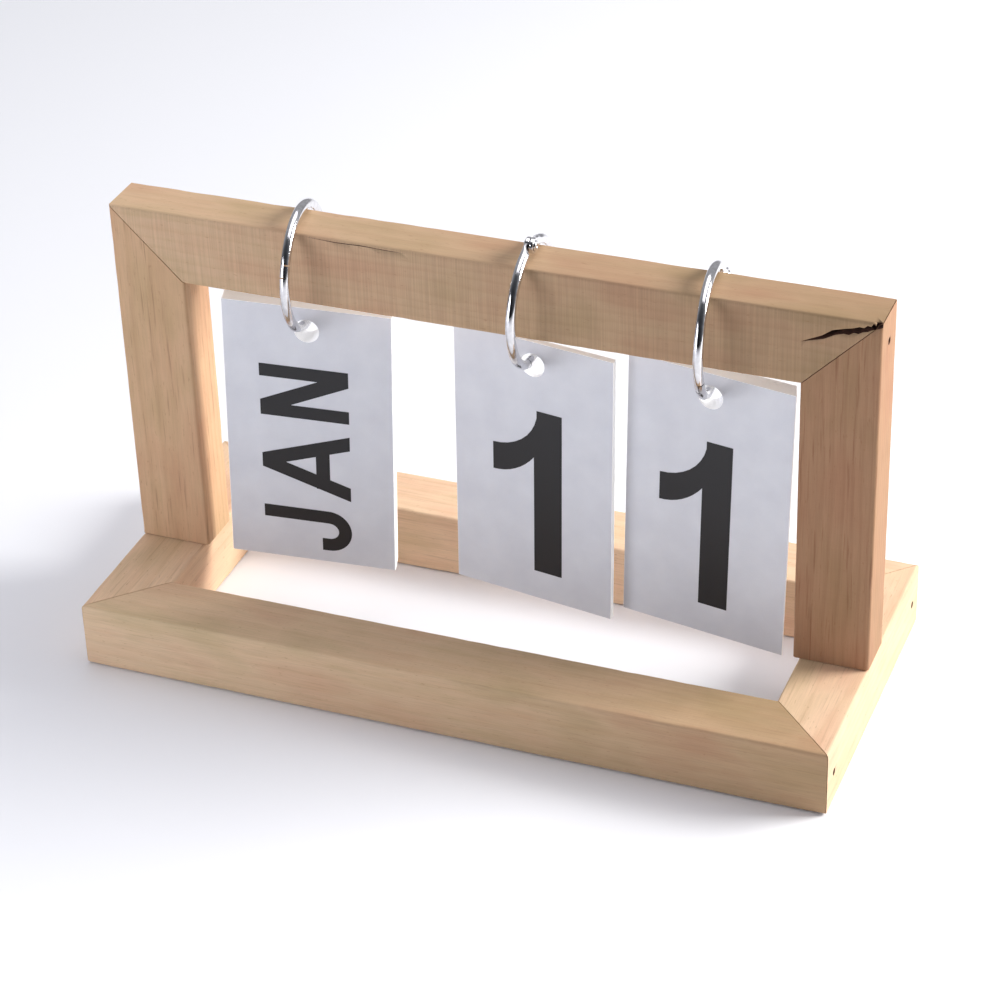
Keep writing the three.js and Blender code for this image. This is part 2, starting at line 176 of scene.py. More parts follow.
def pine(name, early, late, ring_width, rings_show, streaks, saw_marks, ends):
    """Unfinished sawn and sanded pine: soft pale bands of early wood between slightly darker late
    wood, drawn-out fibres, a few resin streaks, and a dry, matt surface. X runs along the grain,
    and ends are the board's tints near its low end and its high end: partly its own tone, partly
    painted shade for a front that falls into shade towards the right."""
    made, tree, shader = material(name, Specular_IOR_Level=0.3)
    coordinates = add(tree, PLACE)
    x, y, z = add(tree, SPLIT, {0: coordinates["Object"]})
    facing = add(tree, SPLIT, {0: coordinates["Normal"]})[2]
    # Growth rings: the distance from the pith, which lies along X, with slow waves in it.
    wander = add(tree, MATH, {0: grain(tree, 90, 9, 2), 1: 2.6}, operation="MULTIPLY")[0]
    y_squared = add(tree, MATH, {0: y, 1: y}, operation="MULTIPLY")[0]
    z_squared = add(tree, MATH, {0: z, 1: z}, operation="MULTIPLY")[0]
    squares = add(tree, MATH, {0: y_squared, 1: z_squared}, operation="ADD")[0]
    radius = add(tree, MATH, {0: squares}, operation="SQRT")[0]
    count = add(tree, MATH, {0: radius, 1: ring_width * MM}, operation="DIVIDE")[0]
    warped = add(tree, MATH, {0: count, 1: wander}, operation="ADD")[0]
    band = add(tree, MATH, {0: warped}, operation="FRACT")[0]
    rings = add(tree, RAMP, {0: band}, [(0.0, 0.0), (0.45, 0.2), (0.8, 1.0), (0.93, 0.5), (1.0, 0.0)])[0]
    late_share = add(tree, MATH, {0: rings, 1: rings_show}, operation="MULTIPLY")[0]
    colour = add(tree, MIX, {0: late_share, 6: linear(early), 7: linear(late)}, **BLEND)[2]
    # A band saw leaves fine lines across the grain of the widest faces, about 0.7 mm apart, and
    # they hide the fibres there.
    turned_to = add(tree, MATH, {0: facing}, operation="ABSOLUTE")[0]
    wide = add(tree, MATH, {0: turned_to, 1: 0.7}, operation="GREATER_THAN")[0]
    sawn = add(tree, MATH, {0: wide, 1: saw_marks}, operation="MULTIPLY")[0]
    teeth = grain(tree, 0.36, 22, 2, shift=5.0)
    lines = add(tree, RAMP, {0: teeth}, [(0.35, 0.78), (0.55, 1.0), (0.7, 1.14)])[0]
    colour = add(tree, MIX, {0: sawn, 6: colour, 7: lines}, **TINT)[2]
    # Fibres are about 0.05 mm wide; they are drawn 0.3 mm wide so that they show.
    fibres = grain(tree, 9, 0.3, 4, roughness=0.65)
    showing = add(tree, MATH, {0: 0.48, 1: sawn}, operation="SUBTRACT")[0]
    threads = add(tree, RAMP, {0: fibres}, [(0.3, 0.78), (0.55, 1.0), (0.75, 1.1)])[0]
    colour = add(tree, MIX, {0: showing, 6: colour, 7: threads}, **TINT)[2]
    # Colour drifts slowly between pinkish, tan and greyish patches along a board.
    drift = grain(tree, 30, 14, 3, shift=7.0)
    patches = add(tree, RAMP, {0: drift}, [(0.3, "#f6e2d8"), (0.5, "#fffaf0"), (0.7, "#e6e6d0")])[0]
    colour = add(tree, MIX, {0: 0.7, 6: colour, 7: patches}, **TINT)[2]
    # It also changes from one end of a board to the other, over about 200 mm: partly the board's own
    # tone, partly painted shade where its front falls into shade towards the right.
    share = add(tree, MATH, {0: x, 1: 200 * MM}, operation="DIVIDE")[0]
    share = add(tree, MATH, {0: share, 1: 0.5}, operation="ADD")[0]
    end_tone_and_painted_shade = add(tree, RAMP, {0: share}, [(0.0, ends[0]), (1.0, ends[1])])[0]
    colour = add(tree, MIX, {0: 1.0, 6: colour, 7: end_tone_and_painted_shade}, **TINT)[2]
    # Resin streaks and fine checks: thin, long and dark.
    dark = add(tree, RAMP, {0: grain(tree, 16, 0.55, 3, shift=3.0)}, [(0.6, 0.0), (0.74, 1.0)])[0]
    resin = add(tree, MATH, {0: dark, 1: streaks}, operation="MULTIPLY")[0]
    colour = add(tree, MIX, {0: resin, 6: colour, 7: linear("#75482e")}, **BLEND)[2]
    # Small pin flecks.
    pins = add(tree, RAMP, {0: grain(tree, 1.8, 0.45, 1, shift=11.0)}, [(0.68, 0.0), (0.78, 1.0)])[0]
    fleck = add(tree, MATH, {0: pins, 1: 0.3}, operation="MULTIPLY")[0]
    colour = add(tree, MIX, {0: fleck, 6: colour, 7: linear("#8a5f3d")}, **BLEND)[2]
    tree.links.new(colour, shader["Base Color"])
    dry = add(tree, RAMP, {0: fibres}, [(0.2, 0.62), (0.8, 0.78)])[0]
    tree.links.new(dry, shader["Roughness"])
    saw_height = add(tree, MATH, {0: teeth, 1: sawn}, operation="MULTIPLY")[0]
    ring_height = add(tree, MATH, {0: rings, 1: 0.1}, operation="MULTIPLY")[0]
    fibre_height = add(tree, MATH, {0: fibres, 1: showing}, operation="MULTIPLY")[0]
    grooves = add(tree, MATH, {0: saw_height, 1: ring_height}, operation="ADD")[0]
    height = add(tree, MATH, {0: fibre_height, 1: grooves}, operation="ADD")[0]
    relief = add(tree, "ShaderNodeBump", {"Height": height, "Strength": 0.4, "Distance": 0.08 * MM})
    tree.links.new(relief[0], shader["Normal"])
    return made


def cloudy(name, pattern, colours, roughness, relief=0.0, **finish):
    """A material whose colour and roughness both follow one pattern: its length along X, its
    width, its detail. relief is how strongly it also stands out, 0.02 mm high at the most."""
    made, tree, shader = material(name, **finish)
    cloud = grain(tree, *pattern)
    tree.links.new(add(tree, RAMP, {0: cloud}, colours)[0], shader["Base Color"])
    if roughness:
        tree.links.new(add(tree, RAMP, {0: cloud}, roughness)[0], shader["Roughness"])
    if relief:
        bump = add(tree, "ShaderNodeBump", {"Height": cloud, "Strength": relief, "Distance": 0.02 * MM})
        tree.links.new(bump[0], shader["Normal"])
    return made


def card(name, pale, bright, share, soak, glow):
    """Uncoated white card: a cool white with a soft, slightly cloudy surface. A share of the light
    soaks in, this many mm, and a faint glow stands for light that comes through from behind, so
    a sheared or punched edge stays bright."""
    made, tree, shader = material(
        name,
        Roughness=0.55,
        Subsurface_Weight=share,
        Subsurface_Radius=(1.0, 0.95, 0.9),
        Subsurface_Scale=soak * MM,
        Emission_Color=linear("#fffdfb"),
        Emission_Strength=glow,
    )
    cloud = add(tree, RAMP, {0: grain(tree, 9, 9, 3)}, [(0.3, pale), (0.7, bright)])[0]
    # Paper fibres are about 0.03 mm wide; they are drawn at 0.25 mm.
    fibres = grain(tree, 0.25, 0.25, 3, shift=2.0)
    threads = add(tree, RAMP, {0: fibres}, [(0.3, 0.965), (0.7, 1.0)])[0]
    colour = add(tree, MIX, {0: 0.6, 6: cloud, 7: threads}, **TINT)[2]
    tree.links.new(colour, shader["Base Color"])
    relief = add(tree, "ShaderNodeBump", {"Height": fibres, "Strength": 0.2, "Distance": 0.02 * MM})
    tree.links.new(relief[0], shader["Normal"])
    return made


EVEN = ("#ffffff", "#ffffff")
# The top rail and the front rail darken towards their right ends: partly their own tone, partly painted
# shade for their fronts, which fall into shade there.
TOP_PINE = pine("pine_top_rail", "#dabd9f", "#c2a17f", 2.6, 0.2, 0.04, 0.42, ("#f8f6f4", "#cbc3ba"))
LEFT_PINE = pine("pine_left_upright", "#d2b08f", "#b08a68", 1.9, 0.25, 0.45, 0.05, EVEN)
# The right upright's pine is darker and redder than the left upright's: painted shade for its front face,
# which lies in shade.
RIGHT_PINE_PAINTED_SHADE = pine("pine_right_upright_painted_shade", "#ad886b", "#8c664c", 1.4, 0.25, 0.5, 0.05, EVEN)
FRONT_PINE = pine("pine_base_front", "#e2c7a9", "#cba883", 3.4, 0.18, 0.15, 0.05, ("#ffffff", "#cfc6bb"))
BASE_PINE = pine("pine_base", "#e9cbae", "#cfaa86", 3.4, 0.25, 0.2, 0.05, EVEN)
# The raw inside of a split, also on the walls of the check and the drilled holes: fibrous and matt, its
# near-black brown partly the torn wood and partly painted shade for these narrow recesses.
TORN_PINE_AND_SHADE = cloudy("torn_pine_and_painted_shade", (5, 0.3, 4), [(0.3, "#1c0f0b"), (0.7, "#5a3320")], (), Roughness=0.9)
# Bright nickel plate on drawn steel wire: a clear mirror with a faint haze.
NICKEL = cloudy(
    "bright_nickel",
    (1.2, 1.2, 3),
    [(0.3, "#d6d5d6"), (0.7, "#e9e8ea")],
    [(0.2, 0.07), (0.8, 0.17)],
    relief=0.15,
    Metallic=1.0,
)
CARD = card("white_card", "#dfe0e6", "#e7e8ed", 0.4, 0.6, 0.0)
# The card's cut edges and hole walls: the same card painted whiter than its faces and given a faint glow,
# painted light for walls and edges that would lie in shade.
CUT_CARD_PAINTED_LIGHT = card("cut_card_edge_painted_light", "#fdfcfe", "#ffffff", 0.5, 2.0, 0.3)
# Black offset ink on card: dense, slightly uneven and a little glossier than the card.
INK = cloudy("black_ink", (0.6, 0.6, 3), [(0.3, "#151417"), (0.7, "#1d1c1f")], [(0.3, 0.42), (0.7, 0.55)])
# Plain drawn steel, as on small wire nails and wood screws, dulled by handling.
NAIL_STEEL = cloudy(
    "nail_steel",
    (0.5, 0.5, 3),
    [(0.3, "#6f6d6c"), (0.7, "#97969a")],
    [(0.3, 0.35), (0.7, 0.55)],
    Metallic=1.0,
)

# ---------------------------------------------------------------- the stand's boards

EDGE_RADIUS = 0.8 * MM
GRID = 2.2 * MM  # spacing of points on a board
HOLLOW = 0.05 * MM  # depth of the plane's waves
WEAR = 0.1 * MM  # most that a long edge is worn back


def board_section(width, height):
    """(across, up, how much it is an edge) round a board's section, from its centre."""
    points = []
    for corner in range(4):
        turn = math.pi / 2 * corner
        cx = (width / 2 - EDGE_RADIUS) * (1 if corner in (0, 3) else -1)
        cy = (height / 2 - EDGE_RADIUS) * (1 if corner in (0, 1) else -1)
        for step in range(7):
            angle = turn + math.pi / 12 * step
            points.append((cx + EDGE_RADIUS * math.cos(angle), cy + EDGE_RADIUS * math.sin(angle), 1.0))
        span = (width if corner in (0, 2) else height) - 2 * EDGE_RADIUS
        count = max(2, round(span / GRID))
        x, y, _ = points[-1]
        dx, dy = -math.sin(turn), math.cos(turn)
        dx, dy = (-dy, dx)
        for step in range(1, count):
            points.append((x + dx * span * step / count, y + dy * span * step / count, 0.0))
    return points


def board(name, along, slant, outer, mitred, pith, wood):
    """A mitred board in place of a CAD rail. along and slant are axis numbers: its ends slope
    with the slant axis, and it is longest at its outer side, which is -1 or 1. mitred says it
    for each end. pith is where the tree's centre lies from the board's, in mm."""
    low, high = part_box(name)
    third = 3 - along - slant
    size, centre = high - low, (high + low) / 2
    axes = [Vector((0, 0, 0)) for _ in range(3)]
    for index, axis in enumerate((along, slant, third)):
        axes[index][axis] = 1
    if axes[0].cross(axes[1]).dot(axes[2]) < 0:
        axes[2] = -axes[2]
    turn = Matrix(axes).transposed().to_4x4()
    count = max(2, round(size[along] / GRID))
    seed = Vector((pith[0], pith[1], size[along] * 100 + low[0] * 70))
    sections = []
    for station in range(count + 1):
        share = station / count
        section = []
        for across, up, edge in board_section(size[slant], size[third]):
            x = (share - 0.5) * size[along]
            near = Vector((x / (26 * MM), across / (11 * MM), up / (11 * MM))) + seed
            hollow = HOLLOW * (0.5 + 0.5 * noise.noise(near))
            worn = noise.noise(Vector((x / (7 * MM), across * 90, up * 90)) + seed)
            chip = WEAR * edge * max(0.0, worn) ** 1.5
            shrink = 1 - (hollow + 1.8 * chip) / max(abs(across), abs(up), 1 * MM)
            across, up = across * shrink, up * shrink
            inset = size[slant] / 2 - outer * across
            start = -size[along] / 2 + (inset if mitred[0] else 0)
            end = size[along] / 2 - (inset if mitred[1] else 0)
            section.append((start + (end - start) * share, across + pith[0] * MM, up + pith[1] * MM))
        sections.append(section)
    bm = bmesh.new()
    loft(bm, sections)
    piece = mesh_object(name + "_board", bm, wood, TORN_PINE_AND_SHADE)
    from_pith = Matrix.Translation((0, -pith[0] * MM, -pith[1] * MM))
    piece.matrix_world = Matrix.Translation(centre) @ turn @ from_pith
    return stands_for(piece, "stand", "pine", name)


X, Y, Z = 0, 1, 2
boards = {
    name: board(name, *facts)
    for name, *facts in (
        ("base_front_rail", X, Y, -1, (True, True), (17, -26), FRONT_PINE),
        ("base_rear_rail", X, Y, 1, (True, True), (-31, -22), BASE_PINE),
        ("base_left_rail", Y, X, -1, (True, True), (24, -20), BASE_PINE),
        ("base_right_rail", Y, X, 1, (True, True), (-15, -33), BASE_PINE),
        ("left_upright", Z, X, -1, (False, True), (-6, 30), LEFT_PINE),
        ("right_upright", Z, X, 1, (False, True), (9, 24), RIGHT_PINE_PAINTED_SHADE),
        ("top_rail", X, Z, 1, (True, True), (-28, -14), TOP_PINE),
    )
}


def prism_cutter(outline, front, depth, taper=0.25):
    """A wedge that cuts into a front face: outline in (x, z), narrowing to taper at its depth."""
    middle = sum((Vector(p) for p in outline), Vector((0, 0))) / len(outline)
    bm = bmesh.new()
    sections = []
    for share in (-0.1, 1.0):
        scale = 1 - (1 - taper) * max(share, 0)
        y = front + depth * share
        section = []
        for x, z in outline:
            section.append((middle.x + (x - middle.x) * scale, y, middle.y + (z - middle.y) * scale))
        sections.append(section)
    loft(bm, sections)
    return mesh_object("cutter", bm, TORN_PINE_AND_SHADE)


def pointing(at, direction):
    """A place at this point, with Z turned to this direction."""
    turn = Vector(direction).to_track_quat("Z", "Y").to_matrix().to_4x4()
    return Matrix.Translation(at) @ turn


def drill(piece, at, direction, radius, depth):
    """A small round hole, opening against direction."""
    bm = bmesh.new()
    sections = []
    for share in (-0.5, 1.0):
        ring = []
        for step in range(20):
            angle = math.tau * step / 20
            side = Vector((math.cos(angle), math.sin(angle), 0)) * radius
            ring.append(side + Vector((0, 0, depth * share)))
        sections.append(ring)
    loft(bm, sections)
    cutter = mesh_object("cutter", bm, TORN_PINE_AND_SHADE)
    cutter.matrix_world = pointing(at, direction)
    boolean(piece, cutter)


TEAR_DEPTH = 5 * MM
CHECK_DEPTH = 0.5 * MM
stand_low, stand_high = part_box("top_rail")
corner = Vector((stand_high.x, stand_low.y, stand_high.z))


def from_corner(*points):
    """Outline points given in mm to the left of and below the stand's top right front corner."""
    return [(corner.x - left * MM, corner.z - down * MM) for left, down in points]


# The right mitre has torn open along the top rail's front edge, with a hairline tail. Its walls take the
# torn pine, whose near-black is partly painted shade.
tear = from_corner(
    (-1, -0.6), (0.7, -0.4), (1.1, 0.5), (1.7, 0.0), (2.3, 1.0), (3.3, 0.9), (4.2, 1.7), (5.4, 1.6),
    (7.2, 2.3), (9.4, 2.8), (12.4, 3.7), (14.9, 5.6), (20.5, 8.3), (14.4, 6.5), (11.6, 4.9), (9.4, 4.2),
    (8.0, 4.3), (6.8, 3.5), (5.6, 3.6), (4.4, 2.9), (3.2, 2.6), (2.2, 2.0), (1.2, 1.6), (-1, 0.9),
)
for name in ("top_rail", "right_upright"):
    boolean(boards[name], prism_cutter(tear, corner.y, TEAR_DEPTH))

# A thin check runs along the top rail's front edge beside the month ring. Its walls take the near-black
# torn pine, painted shade for the dark line along that edge.
check = from_corner(
    (146, 0.5), (138, 0.72), (131, 0.6), (123, 0.8), (119, 0.9), (123, 0.93), (131, 0.78), (138, 0.9),
)
boolean(boards["top_rail"], prism_cutter(check, corner.y, CHECK_DEPTH, 0.95))

HEAD_ROOM = 0.1 * MM  # round a fastener's head
BRAD_HEAD = 0.85 * MM  # radius
BRAD_HOLE = 1.7 * MM  # depth of the hole above a brad
SCREW_HOLE = 2.2 * MM  # and below a screw
for side in ("left", "right"):
    inwards = 1 if side == "left" else -1
    holes = {
        f"{side}_top_brad": f"{side}_upright",
        f"base_front_{side}_brad": f"base_{side}_rail",
        f"base_rear_{side}_brad": f"base_{side}_rail",
    }
    for brad, wood in holes.items():
        low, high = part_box(brad)
        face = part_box(wood)[0 if side == "left" else 1].x
        at = Vector((face, (low.y + high.y) / 2, (low.z + high.z) / 2))
        drill(boards[wood], at, (inwards, 0, 0), BRAD_HEAD + HEAD_ROOM, BRAD_HOLE)
    low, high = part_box(f"{side}_foot_screw")
    at = Vector(((low.x + high.x) / 2, (low.y + high.y) / 2, 0))
    head = (high.x - low.x) / 2
    drill(boards[f"base_{side}_rail"], at, (0, 0, 1), head + HEAD_ROOM, SCREW_HOLE)

# ---------------------------------------------------------------- the fasteners


def turned(name, profile, steps=32):
    """A turned piece about Z, from a profile of radius and height in mm that starts and ends on
    the axis."""
    bm = bmesh.new()
    ends = [bm.verts.new((0, 0, profile[0][1] * MM)), bm.verts.new((0, 0, profile[-1][1] * MM))]
    turns = [math.tau * i / steps for i in range(steps)]
    loops = [
        [bm.verts.new((r * MM * math.cos(t), r * MM * math.sin(t), z * MM)) for t in turns]
        for r, z in profile[1:-1]
    ]
    for i in range(steps):
        j = (i + 1) % steps
        bm.faces.new((ends[0], loops[0][j], loops[0][i]))
        bm.faces.new((ends[1], loops[-1][i], loops[-1][j]))
        for a, b in zip(loops, loops[1:]):
            bm.faces.new((a[i], a[j], b[j], b[i]))
    return mesh_object(name, bm, NAIL_STEEL)


BRAD = [
    (0, 0.05), (0.3, 0.03), (0.65, 0.0), (0.8, 0.12), (0.85, 0.3), (0.8, 0.5), (0.7, 0.62), (0.68, 0.9),
    (0.68, 20.6), (0, 22),
]
SCREW = [
    (0, 0.5), (0.5, 0.45), (0.9, 0.06), (2.7, 0.0), (2.95, 0.12), (2.6, 0.6), (1.5, 1.9), (1.45, 2.4),
    (1.45, 28), (0, 31),
]
for name in [n for n in nodes if n.endswith(("_brad", "_screw"))]:
    low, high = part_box(name)
    is_screw = name.endswith("_screw")
    piece = turned(name + "_turned", SCREW if is_screw else BRAD)
    at = (low + high) / 2
    if is_screw:
        at.z = low.z
        direction = (0, 0, 1)
    elif "left" in name:
        at.x = low.x
        direction = (1, 0, 0)
    else:
        at.x = high.x
        direction = (-1, 0, 0)
    piece.matrix_world = pointing(at, direction)
    stands_for(piece, "stand", "steel", name)

# ---------------------------------------------------------------- the snap rings

WIRE = 1.25 * MM  # radius of the wire
LAP = 0.08 * MM  # from the ring's plane to each tongue and eye
LAP_LENGTH = 3.0 * MM
EYE = 2.0 * MM  # radius of the eyes
EYE_THICK = 1.05 * MM
EYE_HOLE = 0.83 * MM
ROUND = 32  # points round the wire
EYE_RIM = 0.25 * MM  # radius of an eye's rounded rims
PRESS_FROM = 2.1 * MM  # the wire is pressed flat from this far from the pin
PRESS_OVER = 2.6 * MM  # and turns round again over this length
PRESSED_THICK = 0.92 * EYE_THICK / 2  # half the pressed wire's thickness
PRESSED_WIDE = 1.45 * MM  # and half its width
WIRE_STOPS = 1.3 * MM  # the wire ends inside its eye, this far from the pin


def ring_facts(pack):
    """Where a pack's ring is, from its hinge's joint and the lowest point of its wire."""
    hinge = joints[f"{pack}_ring_open"]
    leaf = joints[f"{pack}_front_leaf_lift"]
    yaw = math.atan2(-hinge["axis"][1], -hinge["axis"][0])
    pin = Vector(hinge["pos_m"])
    middle = Vector((leaf["pos_m"][0], leaf["pos_m"][1], 0))
    flat = Matrix.Rotation(-yaw, 3, "Z") @ (Vector((pin.x, pin.y, 0)) - middle)
    lowest = min(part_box(f"{pack}_ring_{half}_half")[0].z for half in PACKS[pack]) + WIRE
    drop = lowest - pin.z
    radius = -(drop**2 + flat.y**2) / (2 * drop)
    centre = Vector((middle.x, middle.y, lowest + radius))
    hinge_angle = math.atan2(-flat.y, centre.z - pin.z)
    place = Matrix.Translation(centre) @ Matrix.Rotation(yaw, 4, "Z")
    return place, radius, hinge_angle


def on_ring(radius, angle):
    """A point on the ring, counted from its lowest point round the front."""
    return Vector((0, -radius * math.sin(angle), -radius * math.cos(angle)))


def half_ring(name, radius, hinge, start, end, side):
    """One half of a snap ring: wire with a pressed eye at the hinge and a half-thick tongue at
    the closure. side is the side of the ring's plane that the eye lies on."""
    hinge_first = abs(start - hinge) < abs(end - hinge - math.tau)
    eye_angle = start if hinge_first else end
    tip_angle = end if hinge_first else start
    count = round(abs(end - start) / math.radians(2))
    angles = [start + (end - start) * i / count for i in range(count + 1)]
    step_back = LAP_LENGTH / radius * (-1 if hinge_first else 1)
    shoulder = tip_angle + step_back
    angles += [shoulder - 1e-5, shoulder + 1e-5]
    angles.sort()
    sections = []
    for angle in angles:
        gap = abs(angle - eye_angle) * radius
        press = 1 - smooth((gap - PRESS_FROM) / PRESS_OVER)
        lapped = abs(angle - tip_angle) < LAP_LENGTH / radius
        outwards = on_ring(1, angle)
        middle = on_ring(radius, angle)
        section = []
        for i in range(ROUND):
            turn = math.tau * i / ROUND
            c, s = math.cos(turn), math.sin(turn)
            pressed_x = side * (LAP + EYE_THICK / 2) + PRESSED_THICK * math.copysign(abs(c) ** 0.6, c)
            pressed_r = PRESSED_WIDE * math.copysign(abs(s) ** 0.8, s)
            x = WIRE * c * (1 - press) + pressed_x * press
            r = WIRE * s * (1 - press) + pressed_r * press
            if lapped:
                x = side * max(side * x, LAP)
            section.append(middle + outwards * r + Vector((x, 0, 0)))
        if gap > WIRE_STOPS:
            sections.append(section)
    bm = bmesh.new()
    loft(bm, sections)
    bmesh.ops.remove_doubles(bm, verts=bm.verts, dist=1e-7)
    piece = mesh_object(name, bm, NICKEL, angle=50)
    # The eye is a washer with rounded rims.
    bm = bmesh.new()
    near, far = EYE_RIM, EYE_THICK - EYE_RIM
    inner, outer = EYE_HOLE + EYE_RIM, EYE - EYE_RIM
    profile = []
    for cx, cr, start_turn in ((far, outer, 0), (far, inner, 90), (near, inner, 180), (near, outer, 270)):
        for step in range(5):
            turn = math.radians(90) - math.radians(start_turn + 22.5 * step)
            profile.append((cx + EYE_RIM * math.cos(turn), cr + EYE_RIM * math.sin(turn)))
    loops = []
    centre = on_ring(radius, hinge)
    for step in range(48):
        turn = math.tau * step / 48
        spoke = Vector((0, math.cos(turn), math.sin(turn)))
        around = [centre + spoke * r + Vector((side * (LAP + x), 0, 0)) for x, r in profile]
        loops.append([bm.verts.new(point) for point in around])
    for a, b in zip(loops, loops[1:] + loops[:1]):
        for i in range(len(a)):
            j = (i + 1) % len(a)
            bm.faces.new((a[i], a[j], b[j], b[i]))
    boolean(piece, mesh_object("eye", bm, NICKEL), "UNION")
    return piece


def domed_rivet(name, radius, hinge):
    """A tubular rivet: shank, two domed heads and a dimple in each."""
    grip = (LAP + EYE_THICK + LAP) / MM
    head = [(0, 0.2), (0.3, 0.22), (0.5, 0.4), (0.75, 0.45), (1.1, 0.33), (1.32, 0.12), (1.35, 0.02)]
    outer = [(r, grip + z) for r, z in head] + [(0.75, grip)]
    profile = [(r, -z) for r, z in outer] + outer[::-1]
    piece = turned(name, profile)
    piece.data.materials.clear()
    piece.data.materials.append(NICKEL)
    piece.matrix_world = Matrix.Translation(on_ring(radius, hinge)) @ Matrix.Rotation(math.pi / 2, 4, "Y")
    return piece


CLOSURE = {"month": 180, "tens": 194, "ones": 180}  # degrees from the hinge round the front
for pack, (carrier, opener) in PACKS.items():
    place, radius, hinge = ring_facts(pack)
    if hinge > math.radians(90):
        hinge -= math.tau
    closure = hinge + math.radians(CLOSURE[pack])
    tongue = (LAP_LENGTH / 2 - LAP) / (radius + WIRE)
    halves = (
        (carrier, f"{pack}_ring", hinge, closure + tongue, 1),
        (opener, f"{pack}_ring_gate", closure - tongue, hinge + math.tau, -1),
    )
    for word, body, start, end, side in halves:
        piece = half_ring(f"{pack}_ring_{word}_wire", radius, hinge, start, end, side)
        piece.matrix_world = place
        stands_for(piece, body, "nickel", f"{pack}_ring_{word}_half")
    piece = domed_rivet(f"{pack}_ring_rivet_turned", radius, hinge)
    piece.matrix_world = place @ piece.matrix_world
    stands_for(piece, f"{pack}_ring", "nickel", f"{pack}_ring_rivet")

# ---------------------------------------------------------------- the prints
# Plain block letters and digits, drawn on a cap height of 1 from their left foot.


def rect(x0, y0, x1, y1):
    return [(x0, y0), (x1, y0), (x1, y1), (x0, y1)]


def slant(foot, head, y0=0.0, y1=1.0, width=0.176):
    return [(foot, y0), (foot + width, y0), (head + width, y1), (head, y1)]


def bend(cx, cy, rx, ry, start, end, weight=0.158):
    """A stroke along part of an ellipse, from start to end in degrees."""
    steps = max(6, round(abs(end - start) / 6))
    turns = [math.radians(start + (end - start) * i / steps) for i in range(steps + 1)]
    outer = [(cx + rx * math.cos(t), cy + ry * math.sin(t)) for t in turns]
    inner = [(cx + (rx - weight) * math.cos(t), cy + (ry - weight * 0.94) * math.sin(t)) for t in turns]
    return outer + inner[::-1]


def ring(cx, cy, rx, ry, weight=0.158):
    return [bend(cx, cy, rx, ry, 0, 180, weight), bend(cx, cy, rx, ry, 180, 360, weight)]


def quarter(rx, ry, last):
    """Points of an ellipse about (0, 1), from its lowest one to x = last."""
    angles = [math.asin(last / rx) * i / 8 for i in range(9)]
    return [(rx * math.sin(a), 1 - ry * math.cos(a)) for a in angles]


def flipped(shapes, width):
    return [[(width - x, 1 - y) for x, y in shape] for shape in shapes]


